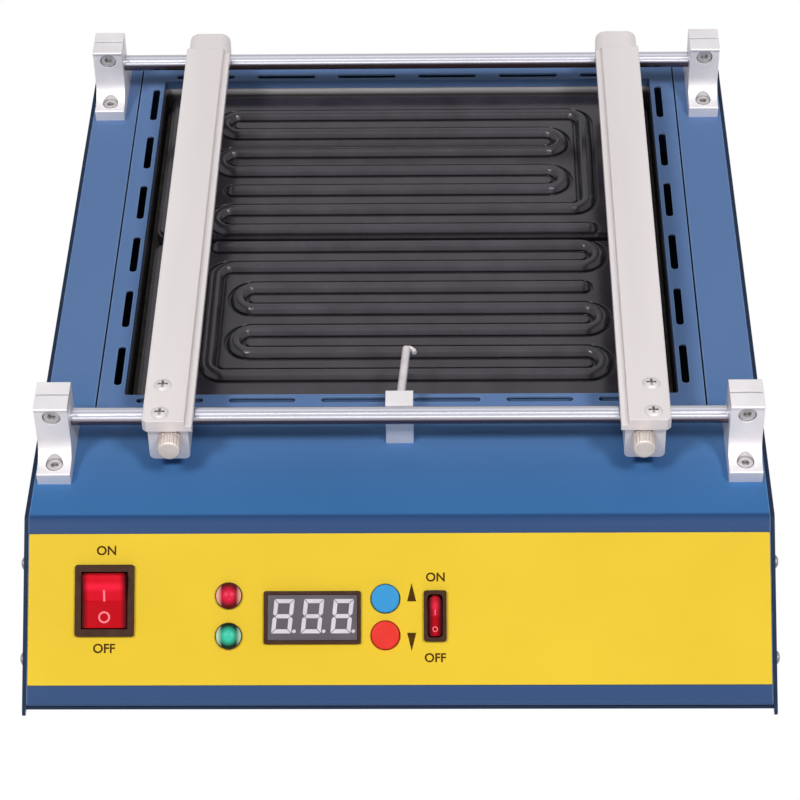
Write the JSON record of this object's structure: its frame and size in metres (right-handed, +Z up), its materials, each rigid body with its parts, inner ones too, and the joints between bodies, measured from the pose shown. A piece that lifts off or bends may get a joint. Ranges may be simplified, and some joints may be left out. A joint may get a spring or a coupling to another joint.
{
  "type": "pcb preheater",
  "caption": "Infrared bench preheater for circuit boards: blue sheet case, sloped yellow panel, ridged ceramic heater plates, and clamp bars sliding on round rails.",
  "frame": {"origin": "On the bench, under the middle of the case: X and Y centre of the overall box, Z at the underside of the rubber feet.", "axes": "+X is the object's right seen from the panel, +Y runs from the panel to the rear wall, +Z is up."},
  "size_m": [0.3338, 0.4114, 0.103],
  "materials": {
    "case_blue": "satin powder coat, blue",
    "panel_yellow": "printed film, yellow",
    "rubber_black": "moulded rubber",
    "steel_bright": "zinc plated",
    "rail_chrome": "hard chrome, polished",
    "aluminium_satin": "fine blasted and anodised clear",
    "nickel_knurl": "nickel plated, knurled",
    "ceramic_black": "glazed ceramic, dark grey",
    "ceramic_white": "unglazed ceramic",
    "insulation_white": "pressed ceramic fibre board",
    "switch_black": "moulded, dark brown-black",
    "rocker_red": "moulded, bright red",
    "button_blue": "moulded, blue",
    "button_red": "moulded, red",
    "lens_red": "clear tinted red",
    "lens_green": "clear tinted green",
    "display_grey": "grey face with pale segments",
    "board_green": "solder mask on glass laminate",
    "core_steel": "varnished laminations"
  },
  "bodies": {
    "body": {"base_tray": "case_blue", "top_cover": "case_blue", "panel_overlay": "panel_yellow", "rubber_feet": "rubber_black", "foot_screws": "steel_bright", "case_screws": "steel_bright", "heater_frame": "case_blue", "reflector_pan": "steel_bright", "pan_posts": "steel_bright", "insulation_board": "insulation_white", "plate_spacers": "ceramic_white", "lead_bushes": "ceramic_white", "heater_plate_front": "ceramic_black", "heater_plate_rear": "ceramic_black", "plate_sensor": "steel_bright", "front_rail": "rail_chrome", "rear_rail": "rail_chrome", "support_front_left": "aluminium_satin", "support_front_right": "aluminium_satin", "support_rear_left": "aluminium_satin", "support_rear_right": "aluminium_satin", "support_foot_screws": "steel_bright", "support_nuts": "steel_bright", "support_clamp_screws": "steel_bright", "sensor_block": "aluminium_satin", "sensor_probe": "steel_bright", "power_switch": "switch_black", "heat_switch": "switch_black", "lamp_bodies": "switch_black", "lamp_lens_red": "lens_red", "lamp_lens_green": "lens_green", "display_bezel": "switch_black", "display_module": "display_grey", "control_board": "board_green", "control_posts": "steel_bright", "tact_switches": "switch_black", "power_board": "board_green", "power_posts": "steel_bright", "transformer": "core_steel", "heat_sink": "aluminium_satin", "triacs": "switch_black", "terminal_block": "switch_black", "mains_inlet": "switch_black", "inlet_pins": "steel_bright", "inlet_screws": "steel_bright"},
    "bar_left": {"clamp_bar_left": "aluminium_satin", "slider_front_left": "aluminium_satin", "slider_rear_left": "aluminium_satin", "bar_screws_left": "steel_bright"},
    "bar_right": {"clamp_bar_right": "aluminium_satin", "slider_front_right": "aluminium_satin", "slider_rear_right": "aluminium_satin", "bar_screws_right": "steel_bright"},
    "knob_left": {"thumb_screw_left": "nickel_knurl"},
    "knob_right": {"thumb_screw_right": "nickel_knurl"},
    "power_rocker_body": {"power_rocker": "rocker_red"},
    "heat_rocker_body": {"heat_rocker": "rocker_red"},
    "button_up_body": {"button_up": "button_blue"},
    "button_down_body": {"button_down": "button_red"}
  },
  "joints": [
    {"name": "bar_left_slide", "type": "slide", "parent": "body", "child": "bar_left", "axis": [1, 0, 0], "range_m": [-0.033, 0.084]},
    {"name": "bar_right_slide", "type": "slide", "parent": "body", "child": "bar_right", "axis": [1, 0, 0], "range_m": [-0.088, 0.026]},
    {"name": "knob_left_turn", "type": "hinge", "parent": "bar_left", "child": "knob_left", "pos_m": [-0.1012, -0.11332, 0.09], "axis": [0, -1, 0], "range_deg": [0, 360]},
    {"name": "knob_right_turn", "type": "hinge", "parent": "bar_right", "child": "knob_right", "pos_m": [0.1082, -0.11332, 0.09], "axis": [0, -1, 0], "range_deg": [0, 360]},
    {"name": "power_rocker_tilt", "type": "hinge", "parent": "body", "child": "power_rocker_body", "pos_m": [-0.129, -0.1695, 0.04475], "axis": [-1, 0, 0], "range_deg": [0, 18]},
    {"name": "heat_rocker_tilt", "type": "hinge", "parent": "body", "child": "heat_rocker_body", "pos_m": [0.016, -0.1747, 0.04006], "axis": [-1, 0, 0], "range_deg": [0, 18]},
    {"name": "button_up_press", "type": "slide", "parent": "body", "child": "button_up_body", "axis": [0, 0.6691, -0.7431], "range_m": [0, 0.0012], "stiffness_N_per_m": 600},
    {"name": "button_down_press", "type": "slide", "parent": "body", "child": "button_down_body", "axis": [0, 0.6691, -0.7431], "range_m": [0, 0.0012], "stiffness_N_per_m": 600}
  ]
}
